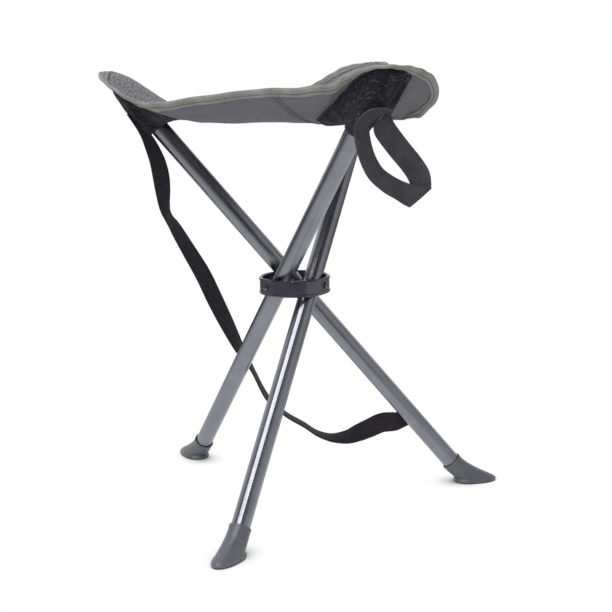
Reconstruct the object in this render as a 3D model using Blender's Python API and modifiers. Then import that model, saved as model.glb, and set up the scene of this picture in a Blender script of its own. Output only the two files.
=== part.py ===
"""Tripod camping stool: three tube legs cross in a pivot ring and carry a sling seat."""

from math import atan2, cos, hypot, pi, radians, sin, sqrt

import bmesh
import bpy
import numpy as np
from mathutils import Matrix, Vector
from mathutils.bvhtree import BVHTree
from mathutils.kdtree import KDTree

# All lengths are metres. The hub axis is vertical, and each leg has a letter and a place
# angle round that axis. Leg a's pin points to +Y and its foot to +X.
HUB_AXIS = Vector((-0.016, 0.011, 0.0))
LEG_PLACES = {"a": 0.0, "b": radians(120), "c": radians(240)}
FIT_GAP = 0.0003

# Leg tubes
TUBE_DIAMETER = 0.022
TUBE_WALL = 0.0012
LEG_UPPER = 0.298
LEG_FLOOR_GAP = 0.012
LEG_SPREAD = radians(39.3)
HUB_HEIGHT = 0.269
TUBE_SIDES = 32

# Pivot ring and its pins
RING_DIAMETER = 0.087
RING_WALL = 0.004
RING_DEPTH = 0.020
RING_EDGE = 0.0012
RING_LIP = 0.0009
RING_LIP_DEPTH = 0.0025
RING_FLAT_WIDTH = 0.018
RING_STEPS = 72
PIN_DIAMETER = 0.006
PIN_HEAD_DIAMETER = 0.008
PIN_HEAD_HEIGHT = 0.0024
PIN_STEPS = 24
BUSH_DIAMETER = 0.014
BUSH_SPACE = 0.0065
WASHER_DIAMETER = 0.013
WASHER_THICKNESS = 0.001

# Plug in the top of each tube
PLUG_STEM = 0.016
PLUG_FLANGE = 0.0015
PLUG_DOME = 0.005

# Rubber boot on each foot, in the floor frame of its leg
BOOT_COLLAR_DIAMETER = 0.0258
BOOT_COLLAR_REACH = 0.036
BOOT_TOE = 0.036
BOOT_HEEL = 0.019
BOOT_HALF_WIDTH = 0.0165
BOOT_RIM_HEIGHT = 0.0055
BOOT_SOLE_INSET = 0.003
BOOT_SIDES = 32

# Seat: a sagging three-cornered sheet, seen from above with corner tongues over the leg tops.
# Its reaches are past the axis of a leg at its top, and its heights are above that top.
SEAT_THICKNESS = 0.002
SEAT_SAG = 0.0336
EDGE_MIDDLE_SHARE = 0.5934
TONGUE_SHOULDERS = ((-0.0387, 0.058), (-0.0087, 0.050), (0.0143, 0.042), (0.0303, 0.024))
LIFTED_SIDE_RISE = (0.0, 0.78, 1.03, 1.04)
DRAPED_SIDE_RISE = (0.0, 0.13, 0.43, 0.80)
DRAPED_SIDE_FLARE = (0.0, 0.65, 1.0, 0.85)
# Each corner: reach and height of its tip, height of its lifted and of its draped shoulder,
# flare of its draped side, and height of the edge halfway on to the next corner.
CORNERS = {
    "a": (0.0333, 0.0264, -0.0106, -0.0071, 0.000, 0.0039),
    "b": (0.0393, 0.0274, 0.0089, -0.0276, 0.012, -0.0106),
    "c": (0.0363, 0.0304, 0.0094, 0.0034, 0.000, -0.0156),
}
EDGE_SAG_POWER = 3.8
RIDGE_START = 0.47
RIDGE_END = 0.97
RIDGE_HALF_ANGLE = radians(14)
SEAT_STATIONS = 60
SEAT_INNER_RINGS = 3
SEAT_OUTER_RINGS = 5

# Tape folded over the seat's edge, and the patch sewn on top of each corner
BINDING_WIDTH = 0.009
BINDING_THICKNESS = 0.001
PATCH_THICKNESS = 0.001
PATCH_CHORD = 0.080
PATCH_HALF_ANGLE = radians(38)
PATCH_MARGIN = 0.011
SEAM_SHARE_LIMIT = 0.75
SHEET_GAP = 0.0008

# Pocket under each corner, round the end of the leg
POCKET_THICKNESS = 0.0012
POCKET_CENTRE = 0.012
POCKET_OUT = 0.017
POCKET_IN = 0.036
POCKET_LIFTED = 0.015
POCKET_DRAPED = 0.044
POCKET_DEPTH = 0.050
POCKET_EDGE_GAP = 0.0045
POCKET_RIM_GAP = 0.0014
POCKET_BULGE = 0.014
POCKET_COLUMNS = 24
POCKET_ROWS = 7

# Webbing of the carry strap and of the handle
WEBBING_WIDTH = 0.025
WEBBING_THICKNESS = 0.0016
STRAP_FOOT_REACH = 0.238
STRAP_END_WIDTH = 0.013
STRAP_TAIL = 0.012
STRAP_RIVET_DIAMETER = 0.004
STRAP_RIVET_HEAD = 0.008
STRAP_RIVET_HEAD_HEIGHT = 0.0018
STRAP_WASHER_DIAMETER = 0.011
STRAP_WASHER_THICKNESS = 0.0008

# Route of the carry strap round the back of legs b and c, from the pocket of leg a to its
# lower tube: place from the hub axis, in shares of the leg top's reach and height, and the
# turn of its width out of the depth direction.
STRAP_ROUTE = (
    ((-1.0278, 0.1166, 0.9574), 0),
    ((-0.9892, 0.1166, 0.9375), 4),
    ((-0.9468, 0.1166, 0.9177), 14),
    ((-0.9065, 0.1166, 0.8947), 28),
    ((-0.8583, 0.1166, 0.8485), 43),
    ((-0.8366, 0.1325, 0.8092), 50),
    ((-0.8270, 0.1536, 0.7720), 44),
    ((-0.8191, 0.1801, 0.7292), 28),
    ((-0.7974, 0.2013, 0.6996), 19),
    ((-0.7544, 0.2278, 0.6697), 30),
    ((-0.6792, 0.2755, 0.6145), 39),
    ((-0.5897, 0.3285, 0.5480), 48),
    ((-0.5150, 0.3921, 0.4788), 50),
    ((-0.4350, 0.4556, 0.4075), 42),
    ((-0.3534, 0.5192, 0.3373), 26),
    ((-0.2739, 0.5298, 0.2810), 10),
    ((-0.1748, 0.5086, 0.2042), 24),
    ((-0.0551, 0.4874, 0.1595), 20),
    ((0.0742, 0.4609, 0.1297), 20),
    ((0.1632, 0.4397, 0.1077), 10),
    ((0.2585, 0.4133, 0.0973), 8),
    ((0.3592, 0.3762, 0.1015), 19),
    ((0.4387, 0.3338, 0.1155), 33),
    ((0.5176, 0.2808, 0.1337), 46),
    ((0.5907, 0.2278, 0.1515), 60),
)
# Route of the handle below the pocket of leg b: place from the top of that leg, and the same turn.
HANDLE_ROUTE = (
    ((-0.0113, -0.0085, -0.0336), 20),
    ((-0.0098, -0.0125, -0.0496), 40),
    ((-0.0063, -0.0135, -0.0666), 50),
    ((0.0022, -0.0125, -0.0836), 52),
    ((0.0167, -0.0095, -0.0966), 55),
    ((0.0367, -0.0045, -0.1086), 52),
    ((0.0537, 0.0025, -0.1096), 20),
    ((0.0607, 0.0095, -0.1006), -30),
    ((0.0547, 0.0105, -0.0876), -70),
    ((0.0427, 0.0075, -0.0736), -80),
    ((0.0277, 0.0015, -0.0566), -76),
    ((0.0137, -0.0055, -0.0366), -55),
    ((0.0067, -0.0105, -0.0216), -35),
)
ROUTE_STEPS = 3

LEG_LOWER = HUB_HEIGHT / cos(LEG_SPREAD)
LEG_REACH = LEG_UPPER * sin(LEG_SPREAD)
LEG_TOP = HUB_HEIGHT + LEG_UPPER * cos(LEG_SPREAD)
SEAT_LOW = LEG_TOP - SEAT_SAG
TUBE_RADIUS = TUBE_DIAMETER / 2
RING_RADIUS = RING_DIAMETER / 2
RING_BORE = RING_RADIUS - RING_WALL
PIVOT_RADIUS = RING_BORE - BUSH_SPACE - TUBE_RADIUS
RING_FLAT = sqrt(RING_RADIUS**2 - (RING_FLAT_WIDTH / 2) ** 2)
PIN_BORE = PIN_DIAMETER / 2 + FIT_GAP
CORNER_TURN = pi


def clear_scene():
    for item in list(bpy.data.objects):
        bpy.data.objects.remove(item, do_unlink=True)


def new_collection(name):
    collection = bpy.data.collections.new(name)
    bpy.context.scene.collection.children.link(collection)
    return collection


clear_scene()
STOOL = new_collection("tripod_camping_stool")
CUTTERS = new_collection("cutters")


def finish_material(name, colour, roughness, metallic=0.0):
    material = bpy.data.materials.new(name)
    material.use_nodes = True
    shader = material.node_tree.nodes["Principled BSDF"]
    shader.inputs["Base Color"].default_value = (*colour, 1.0)
    shader.inputs["Roughness"].default_value = roughness
    shader.inputs["Metallic"].default_value = metallic
    return material


MATERIALS = {
    "tube_paint": finish_material("tube_paint", (0.10, 0.10, 0.125), 0.32, 0.6),
    "ring_plastic": finish_material("ring_plastic", (0.030, 0.028, 0.036), 0.42),
    "bush_nylon": finish_material("bush_nylon", (0.05, 0.05, 0.055), 0.5),
    "rivet_steel": finish_material("rivet_steel", (0.12, 0.12, 0.13), 0.3, 1.0),
    "plug_plastic": finish_material("plug_plastic", (0.02, 0.02, 0.022), 0.5),
    "boot_rubber": finish_material("boot_rubber", (0.135, 0.135, 0.155), 0.6),
    "seat_cloth": finish_material("seat_cloth", (0.14, 0.14, 0.155), 0.85),
    "patch_cloth": finish_material("patch_cloth", (0.12, 0.12, 0.135), 0.9),
    "pocket_cloth": finish_material("pocket_cloth", (0.022, 0.021, 0.028), 0.95),
    "binding_tape": finish_material("binding_tape", (0.22, 0.22, 0.195), 0.8),
    "black_webbing": finish_material("black_webbing", (0.014, 0.013, 0.019), 0.8),
}


def empty(name, matrix):
    marker = bpy.data.objects.new(name, None)
    STOOL.objects.link(marker)
    marker.matrix_world = matrix
    return marker


def attach(item, parent, local=Matrix()):
    item.parent = parent
    item.matrix_local = local
    return item


def mesh_object(name, mesh, material, collection=None):
    item = bpy.data.objects.new(name, mesh)
    (collection or STOOL).objects.link(item)
    if material:
        mesh.materials.append(MATERIALS[material])
    return item


def bmesh_object(name, bm, material, smooth_angle=radians(40), collection=None):
    bmesh.ops.recalc_face_normals(bm, faces=bm.faces)
    mesh = bpy.data.meshes.new(name)
    bm.to_mesh(mesh)
    bm.free()
    mesh.shade_smooth()
    mesh.set_sharp_from_angle(angle=smooth_angle)
    return mesh_object(name, mesh, material, collection)


def turned(name, profile, steps, material, closed=False, collection=None):
    """A turned piece: the profile, in radius and height, swept round its local Z axis."""
    bm = bmesh.new()
    points = [bm.verts.new((radius, 0.0, height)) for radius, height in profile]
    for start, end in zip(points, points[1:]):
        bm.edges.new((start, end))
    if closed:
        bm.edges.new((points[-1], points[0]))
    mesh = bpy.data.meshes.new(name)
    bm.to_mesh(mesh)
    bm.free()
    item = mesh_object(name, mesh, material, collection)
    screw = item.modifiers.new("turn", "SCREW")
    screw.steps = steps
    screw.render_steps = steps
    screw.use_merge_vertices = True
    screw.merge_threshold = 0.00001
    screw.use_smooth_shade = True
    return item


def cut(item, cutter):
    boolean = item.modifiers.new("cut", "BOOLEAN")
    boolean.operation = "DIFFERENCE"
    boolean.object = cutter


def hide_cutter(cutter):
    cutter.hide_render = True
    cutter.display_type = "WIRE"
    return cutter


def drill(name, radius, low, high, parent, local=Matrix()):
    profile = ((0.0, high), (radius, high), (radius, low), (0.0, low))
    cutter = turned(name, profile, PIN_STEPS, None, collection=CUTTERS)
    return attach(hide_cutter(cutter), parent, local)


def dome(base_radius, base, height, steps=5):
    """Profile points of a shallow dome, from its crown to its rim."""
    angles = [pi / 2 * step / steps for step in range(steps + 1)]
    return [(base_radius * sin(angle), base + height * cos(angle)) for angle in angles]


def solidify(item, thickness, offset=0.0):
    wall = item.modifiers.new("thickness", "SOLIDIFY")
    wall.thickness = thickness
    wall.offset = offset
    return item


def smooth_route(points, steps):
    """Points of a smooth curve through the given ones, with the given steps in each span."""
    guides = [2 * points[0] - points[1], *points, 2 * points[-1] - points[-2]]
    curve = []
    for p0, p1, p2, p3 in zip(guides, guides[1:], guides[2:], guides[3:]):
        for step in range(steps):
            t = step / steps
            curve.append(
                0.5 * (2 * p1 + t * (p2 - p0) + t * t * (2 * p0 - 5 * p1 + 4 * p2 - p3)
                       + t**3 * (3 * p1 - p0 - 3 * p2 + p3))
            )
    return [*curve, points[-1]]


# Frames: one for the hub, and for each leg a pin frame with Z outwards along the pin and a
# leg frame on the pin with Z up the tube.
HUB = empty("hub", Matrix.Translation(HUB_AXIS + Vector((0.0, 0.0, HUB_HEIGHT))))
bpy.context.view_layer.update()
PIN_FRAMES = {}
LEG_FRAMES = {}
for letter, place in LEG_PLACES.items():
    turn = HUB.matrix_world @ Matrix.Rotation(place, 4, "Z")
    PIN_FRAMES[letter] = empty(f"pin_{letter}", turn @ Matrix.Rotation(-pi / 2, 4, "X"))
    pivot = turn @ Matrix.Translation((0.0, PIVOT_RADIUS, 0.0))
    LEG_FRAMES[letter] = empty(f"leg_{letter}", pivot @ Matrix.Rotation(-LEG_SPREAD, 4, "Y"))
bpy.context.view_layer.update()
FLOOR_TURN = Matrix.Rotation(LEG_SPREAD, 4, "Y")


def to_world_mesh(item, parent):
    """Parents a mesh that is drawn round the hub axis at floor level."""
    item.parent = parent
    item.matrix_parent_inverse = parent.matrix_world.inverted()
    item.matrix_basis = Matrix.Translation(HUB_AXIS)
    return item


def make_ring(drills):
    half = RING_DEPTH / 2
    outer = RING_RADIUS
    waist = RING_RADIUS - RING_LIP
    lip = half - RING_LIP_DEPTH
    profile = (
        (outer - RING_EDGE, half), (outer, half - RING_EDGE), (outer, lip),
        (waist, lip - RING_LIP), (waist, RING_LIP - lip), (outer, -lip),
        (outer, RING_EDGE - half), (outer - RING_EDGE, -half), (RING_BORE + RING_EDGE, -half),
        (RING_BORE, RING_EDGE - half), (RING_BORE, half - RING_EDGE), (RING_BORE + RING_EDGE, half),
    )
    ring = turned("hub_ring", profile, RING_STEPS, "ring_plastic", closed=True)
    attach(ring, HUB)
    for letter, pin in PIN_FRAMES.items():
        bm = bmesh.new()
        bmesh.ops.create_cube(bm, size=1.0)
        depth = RING_WALL
        size = (RING_FLAT_WIDTH * 2, RING_DEPTH * 2, depth)
        bmesh.ops.scale(bm, vec=size, verts=bm.verts)
        bmesh.ops.translate(bm, vec=(0.0, 0.0, RING_FLAT - RING_LIP + depth / 2), verts=bm.verts)
        flat = bmesh_object(f"ring_flat_{letter}", bm, None, collection=CUTTERS)
        cut(ring, attach(hide_cutter(flat), pin))
        cut(ring, drills[letter])
    return ring


def make_pin(letter):
    """Rivet with its head on the ring's flat, through the bush and the tube."""
    pin = PIN_FRAMES[letter]
    seat = RING_FLAT - RING_LIP + FIT_GAP
    tube_out = PIVOT_RADIUS + TUBE_RADIUS
    tube_in = PIVOT_RADIUS - TUBE_RADIUS
    shank = PIN_DIAMETER / 2
    head = PIN_HEAD_DIAMETER / 2
    washer_top = tube_in - FIT_GAP
    washer_low = washer_top - WASHER_THICKNESS
    tail = washer_low - FIT_GAP
    crown = dome(head, seat + PIN_HEAD_HEIGHT / 3, PIN_HEAD_HEIGHT * 2 / 3)
    foot = [(radius, tail - (height - seat)) for radius, height in reversed(crown)]
    profile = [*crown, (head, seat), (shank, seat), (shank, tail), (head, tail), *foot]
    attach(turned(f"pivot_rivet_{letter}", profile, PIN_STEPS, "rivet_steel"), pin)

    bush = BUSH_DIAMETER / 2
    bush_out = sqrt(RING_BORE**2 - bush**2) - FIT_GAP
    bush_in = tube_out + FIT_GAP
    profile = ((bush, bush_out), (bush, bush_in), (PIN_BORE, bush_in), (PIN_BORE, bush_out))
    attach(turned(f"spacer_bush_{letter}", profile, PIN_STEPS, "bush_nylon", closed=True), pin)

    washer = WASHER_DIAMETER / 2
    profile = ((washer, washer_top), (washer, washer_low), (PIN_BORE, washer_low), (PIN_BORE, washer_top))
    attach(turned(f"rivet_washer_{letter}", profile, PIN_STEPS, "rivet_steel", closed=True), pin)


def make_tube(letter, drills):
    bore = TUBE_RADIUS - TUBE_WALL
    low = LEG_FLOOR_GAP / cos(LEG_SPREAD) - LEG_LOWER
    profile = ((TUBE_RADIUS, LEG_UPPER), (TUBE_RADIUS, low), (bore, low), (bore, LEG_UPPER))
    tube = turned(f"leg_tube_{letter}", profile, TUBE_SIDES, "tube_paint", closed=True)
    attach(tube, LEG_FRAMES[letter])
    cut(tube, drills[letter])
    return tube


def make_plug(letter):
    stem = TUBE_RADIUS - TUBE_WALL - FIT_GAP
    base = LEG_UPPER + FIT_GAP
    crown = dome(TUBE_RADIUS, base + PLUG_FLANGE, PLUG_DOME)
    profile = [*crown, (TUBE_RADIUS, base), (stem, base), (stem, base - PLUG_STEM), (0.0, base - PLUG_STEM)]
    plug = turned(f"top_plug_{letter}", profile, TUBE_SIDES, "plug_plastic")
    attach(plug, LEG_FRAMES[letter])


def boot_outline(inset, height):
    """Egg-shaped outline on the floor frame: long toe at +X, short heel at -X."""
    ring = []
    for side in range(BOOT_SIDES):
        angle = 2 * pi * side / BOOT_SIDES
        reach = (BOOT_TOE if cos(angle) > 0 else BOOT_HEEL) - inset
        ring.append(Vector((reach * cos(angle), (BOOT_HALF_WIDTH - inset) * sin(angle), height)))
    return ring


def boot_round(radius, reach):
    """Ring square to the tube, the given way up it from the floor."""
    up = Vector((-sin(LEG_SPREAD), 0.0, cos(LEG_SPREAD)))
    across = Vector((cos(LEG_SPREAD), 0.0, sin(LEG_SPREAD)))
    ring = []
    for side in range(BOOT_SIDES):
        angle = 2 * pi * side / BOOT_SIDES
        ring.append(up * reach + radius * (across * cos(angle) + Vector((0.0, sin(angle), 0.0))))
    return ring


def blend_rings(first, second, share):
    return [a.lerp(b, share) for a, b in zip(first, second)]


def make_boot(letter):
    bore = TUBE_RADIUS + FIT_GAP
    collar = BOOT_COLLAR_DIAMETER / 2
    tube_low = LEG_FLOOR_GAP / cos(LEG_SPREAD) - FIT_GAP
    neck = boot_round(collar, BOOT_COLLAR_REACH * 0.75)
    rim_top = boot_outline(BOOT_SOLE_INSET / 2, BOOT_RIM_HEIGHT * 1.6)
    rings = [
        boot_round(bore, tube_low),
        boot_round(bore, BOOT_COLLAR_REACH),
        boot_round(collar, BOOT_COLLAR_REACH),
        neck,
        blend_rings(neck, rim_top, 0.45),
        blend_rings(neck, rim_top, 0.80),
        rim_top,
        boot_outline(0.0, BOOT_RIM_HEIGHT),
        boot_outline(BOOT_SOLE_INSET, 0.0),
    ]
    bm = bmesh.new()
    loops = []
    for ring in rings:
        points = [bm.verts.new(point) for point in ring]
        loops.append([bm.edges.new((a, b)) for a, b in zip(points, [*points[1:], points[0]])])
    for first, second in zip(loops, loops[1:]):
        bmesh.ops.bridge_loops(bm, edges=first + second)
    for loop in (loops[0], loops[-1]):
        bmesh.ops.contextual_create(bm, geom=loop)
    boot = bmesh_object(f"foot_boot_{letter}", bm, "boot_rubber")
    place = Matrix.Translation((0.0, 0.0, -LEG_LOWER)) @ FLOOR_TURN
    attach(boot, LEG_FRAMES[letter], place)


def corner_points(letter):
    """Edge of the seat round one corner, from its lifted shoulder to the next edge's middle."""
    tongue, tip, lifted, draped, flare, middle = CORNERS[letter]
    points = []
    for (reach, offset), rise in zip(TONGUE_SHOULDERS, LIFTED_SIDE_RISE):
        points.append((LEG_REACH + reach, offset, lifted + (tip - lifted) * rise))
    points.append((LEG_REACH + tongue, 0.0, tip))
    draped_side = zip(TONGUE_SHOULDERS, DRAPED_SIDE_RISE, DRAPED_SIDE_FLARE)
    for (reach, offset), rise, share in reversed(list(draped_side)):
        points.append((LEG_REACH + reach, -offset - flare * share, draped + (tip - draped) * rise))
    half = LEG_REACH * EDGE_MIDDLE_SHARE
    points.append((half * cos(pi / 3), -half * sin(pi / 3), middle))
    turn = Matrix.Rotation(CORNER_TURN + LEG_PLACES[letter], 3, "Z")
    return [turn @ Vector((reach, -offset, LEG_TOP + height)) for reach, offset, height in points]


def seat_edge():
    """Dense closed curve of the seat's edge, as rows of x, y, z."""
    guides = [point for letter in LEG_PLACES for point in corner_points(letter)]
    wrapped = [*guides[-2:], *guides, *guides[:2]]
    dense = 12
    curve = smooth_route(wrapped, dense)
    return np.array([tuple(point) for point in curve[2 * dense:-dense]])


EDGE = seat_edge()
EDGE_LENGTH = np.concatenate(([0.0], np.cumsum(np.linalg.norm(np.diff(EDGE, axis=0), axis=1))))
EDGE_ANGLE = np.unwrap(np.arctan2(EDGE[:, 1], EDGE[:, 0]))


def edge_at(angle):
    """Reach and height of the seat's edge in a direction from the hub axis."""
    turned_angle = EDGE_ANGLE[0] + (angle - EDGE_ANGLE[0]) % (2 * pi)
    reach = np.interp(turned_angle, EDGE_ANGLE, np.hypot(EDGE[:, 0], EDGE[:, 1]))
    height = np.interp(turned_angle, EDGE_ANGLE, EDGE[:, 2])
    return float(reach), float(height)


def ridge_share(angle):
    """How far a direction lies on the ridge that a leg's top lifts in the cloth."""
    lean = atan2(PIVOT_RADIUS, LEG_REACH)
    share = 0.0
    for place in LEG_PLACES.values():
        away = (angle - (CORNER_TURN + place - lean) + pi) % (2 * pi) - pi
        share = max(share, 1 - (away / RIDGE_HALF_ANGLE) ** 2, 0.0)
    return share**2


def seat_point(angle, part):
    """Middle of the cloth at a share of the way from the hub axis to the edge."""
    reach, height = edge_at(angle)
    share = ridge_share(angle)
    t = min(max((part - RIDGE_START) / (RIDGE_END - RIDGE_START), 0.0), 1.0)
    rise = (1 - share) * part**EDGE_SAG_POWER + share * t * t * (3 - 2 * t)
    level = SEAT_LOW + (height - SEAT_LOW) * rise
    return Vector((part * reach * cos(angle), part * reach * sin(angle), level))


def off_corner(angle, letter):
    return (angle - CORNER_TURN - LEG_PLACES[letter] + pi) % (2 * pi) - pi


STATION_ANGLES = [
    float(np.interp(EDGE_LENGTH[-1] * station / SEAT_STATIONS, EDGE_LENGTH, EDGE_ANGLE))
    for station in range(SEAT_STATIONS)
]


def edge_slant(angle):
    """Way along a direction from the hub axis that moves one unit square off the edge."""
    step = 0.01
    ahead = edge_at(angle + step)[0] * Vector((cos(step), sin(step)))
    behind = edge_at(angle - step)[0] * Vector((cos(step), -sin(step)))
    along = (ahead - behind).normalized()
    return 1 / abs(along.y)


def ring_parts(angle):
    """Shares at which the cloth's rings cross a direction: the patch's seam is one of them."""
    reach = edge_at(angle)[0]
    away = min(abs(off_corner(angle, letter)) for letter in LEG_PLACES)
    seam = PATCH_CHORD / cos(min(away, PATCH_HALF_ANGLE)) / reach
    seam = min(seam, SEAM_SHARE_LIMIT)
    inner = [seam * sqrt(ring / SEAT_INNER_RINGS) for ring in range(1, SEAT_INNER_RINGS + 1)]
    slant = edge_slant(angle) / reach
    patch_edge = 1 - PATCH_MARGIN * slant
    step = (patch_edge - seam) / SEAT_OUTER_RINGS
    outer = [seam + step * ring for ring in range(1, SEAT_OUTER_RINGS + 1)]
    return [0.0, *inner, *outer, 1 - BINDING_WIDTH * slant, 1.0]


STATION_PARTS = [ring_parts(angle) for angle in STATION_ANGLES]
SEAT_ROWS = len(STATION_PARTS[0])


def grid_surface(columns, rows, place, closed=False, turned_row=None):
    """Open sheet whose column and row give each point its place; closed joins its two sides.

    The squares of the turned row are split along their other diagonal."""
    bm = bmesh.new()
    spans = columns if closed else columns - 1
    bmesh.ops.create_grid(bm, x_segments=spans, y_segments=rows - 1, size=1.0)
    levels = {face: int((face.calc_center_median().y + 1) / 2 * (rows - 1)) for face in bm.faces}
    turned_faces = [face for face, level in levels.items() if level == turned_row]
    for point in bm.verts:
        column = round((point.co.x + 1) / 2 * spans)
        row = round((point.co.y + 1) / 2 * (rows - 1))
        point.co = place(column % columns, row)
    if turned_faces:
        bmesh.ops.triangulate(bm, faces=turned_faces, quad_method="ALTERNATE")
    bmesh.ops.remove_doubles(bm, verts=bm.verts, dist=0.000001)
    bmesh.ops.triangulate(bm, faces=bm.faces, quad_method="FIXED")
    return bm


def cloth_place(station, row):
    return seat_point(STATION_ANGLES[station], STATION_PARTS[station][row])


CLOTH = grid_surface(SEAT_STATIONS, SEAT_ROWS, cloth_place, closed=True)
CLOTH.normal_update()
CLOTH.verts.ensure_lookup_table()
CLOTH_POINTS = KDTree(len(CLOTH.verts))
for point in CLOTH.verts:
    CLOTH_POINTS.insert(point.co, point.index)
CLOTH_POINTS.balance()


def cloth_lifted(station, row, lift):
    """Place above a point of the cloth, square to it; a negative lift goes below."""
    place = cloth_place(station, row)
    normal = CLOTH.verts[CLOTH_POINTS.find(place)[1]].normal
    return place + normal * (lift if normal.z > 0 else -lift)


def make_seat():
    seat = bmesh_object("seat_panel", CLOTH.copy(), "seat_cloth")
    solidify(seat, SEAT_THICKNESS)
    to_world_mesh(seat, HUB)


def make_binding():
    """Tape folded over the edge: a lower leaf, the fold outside the edge and an upper leaf."""
    lift = SEAT_THICKNESS / 2 + SHEET_GAP + BINDING_THICKNESS / 2
    outside = 2 * SHEET_GAP + BINDING_THICKNESS / 2

    def place(column, row):
        side = -lift if row < 3 else lift
        inner = cloth_lifted(column, SEAT_ROWS - 2, side)
        edge = cloth_lifted(column, SEAT_ROWS - 1, side)
        if row in (0, 5):
            return inner
        if row in (1, 4):
            return edge
        return edge + (edge - inner).normalized() * outside * edge_slant(STATION_ANGLES[column])

    bm = grid_surface(SEAT_STATIONS, 6, place, closed=True, turned_row=4)
    binding = bmesh_object("edge_binding", bm, "binding_tape")
    solidify(binding, BINDING_THICKNESS)
    to_world_mesh(binding, HUB)


def make_patch(letter):
    """Second layer on top of a corner, from a straight seam across it to the binding."""
    lift = (SEAT_THICKNESS + PATCH_THICKNESS) / 2 + SHEET_GAP
    angles = enumerate(STATION_ANGLES)
    columns = [station for station, angle in angles if abs(off_corner(angle, letter)) < PATCH_HALF_ANGLE]
    columns.sort(key=lambda station: off_corner(STATION_ANGLES[station], letter))

    def place(column, row):
        return cloth_lifted(columns[column], row + SEAT_INNER_RINGS, lift)

    bm = grid_surface(len(columns), SEAT_OUTER_RINGS + 1, place)
    patch = bmesh_object(f"corner_patch_{letter}", bm, "patch_cloth")
    solidify(patch, PATCH_THICKNESS)
    to_world_mesh(patch, HUB)


def below_cloth(cloth, place, frame):
    """Where a line up the leg meets the cloth, moved in until it clears the tape at the edge."""
    up = frame.to_3x3() @ Vector((0.0, 0.0, 1.0))
    step = Vector((BINDING_THICKNESS, 0.0, 0.0))
    from_edge = 0.0
    while from_edge < BINDING_WIDTH + POCKET_EDGE_GAP:
        hit, normal, _, _ = cloth.ray_cast(frame @ place, up)
        if hit:
            angle = atan2(hit.y, hit.x)
            from_edge = (edge_at(angle)[0] - hypot(hit.x, hit.y)) / edge_slant(angle)
        place = place + step
    if normal.dot(up) < 0:
        normal.negate()
    drop = (SEAT_THICKNESS + POCKET_THICKNESS) / 2 + POCKET_RIM_GAP
    return frame.inverted() @ (hit - normal * drop)


def make_pocket(letter, cloth):
    """Cloth sling from round the tube to the underside of the seat's corner."""
    leg = LEG_FRAMES[letter]
    frame = Matrix.Translation(-HUB_AXIS) @ leg.matrix_world
    mouth = TUBE_RADIUS + FIT_GAP + POCKET_THICKNESS / 2
    mouth_level = LEG_UPPER - POCKET_DEPTH

    def place(column, row):
        angle = 2 * pi * column / POCKET_COLUMNS
        around = Vector((-cos(angle), sin(angle), 0.0))
        low = around * mouth + Vector((0.0, 0.0, mouth_level))
        spread_x = POCKET_OUT if around.x < 0 else POCKET_IN
        spread_y = POCKET_LIFTED if around.y > 0 else POCKET_DRAPED
        start = Vector((POCKET_CENTRE + around.x * spread_x, around.y * spread_y, LEG_UPPER / 2))
        high = below_cloth(cloth, start, frame)
        outer = max(cos(angle), 0.0)
        bulge = around * (TUBE_RADIUS + POCKET_BULGE) + Vector((0.0, 0.0, LEG_UPPER + 2 * PLUG_DOME))
        guide = low.lerp(high, 0.5).lerp(bulge, outer)
        share = row / (POCKET_ROWS - 1)
        return low.lerp(guide, share).lerp(guide.lerp(high, share), share)

    bm = grid_surface(POCKET_COLUMNS, POCKET_ROWS, place, closed=True)
    pocket = bmesh_object(f"corner_pocket_{letter}", bm, "pocket_cloth")
    solidify(pocket, POCKET_THICKNESS)
    attach(pocket, leg)


def ribbon(name, ribs, material):
    """Webbing along its ribs, each a left and a right point."""
    bm = bmesh.new()
    left, right = ribs[0]
    edge = bm.edges.new((bm.verts.new(left), bm.verts.new(right)))
    ends = list(edge.verts)
    for left, right in ribs[1:]:
        made = bmesh.ops.extrude_edge_only(bm, edges=[edge])["geom"]
        edge = next(item for item in made if isinstance(item, bmesh.types.BMEdge) and item.is_boundary
                    and not set(item.verts) & set(ends))
        ends = list(edge.verts)
        by_left = sorted(ends, key=lambda point: (point.co - left).length - (point.co - right).length)
        by_left[0].co = left
        by_left[1].co = right
    item = bmesh_object(name, bm, material)
    return solidify(item, WEBBING_THICKNESS)


def route_ribs(route, widths):
    """Ribs of a strap: its width lies in depth, turned about its run by each point's angle."""
    points = smooth_route([Vector(place) for place, _ in route], ROUTE_STEPS)
    turns = smooth_route([Vector((turn, 0.0, 0.0)) for _, turn in route], ROUTE_STEPS)
    ribs = []
    for index, (point, turn) in enumerate(zip(points, turns)):
        run = points[min(index + 1, len(points) - 1)] - points[max(index - 1, 0)]
        run.normalize()
        depth = (Vector((0.0, 1.0, 0.0)) - run * run.y).normalized()
        across = Matrix.Rotation(radians(turn.x), 3, run) @ depth
        half = widths(index, len(points)) / 2
        ribs.append((point - across * half, point + across * half))
    return ribs


def strap_place(reach, out):
    """Place behind leg a's lower tube, at a reach below the pin and a distance out of its axis."""
    frame = Matrix.Translation(-HUB_AXIS) @ LEG_FRAMES["a"].matrix_world
    return frame @ Vector((0.0, out, -reach))


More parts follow.
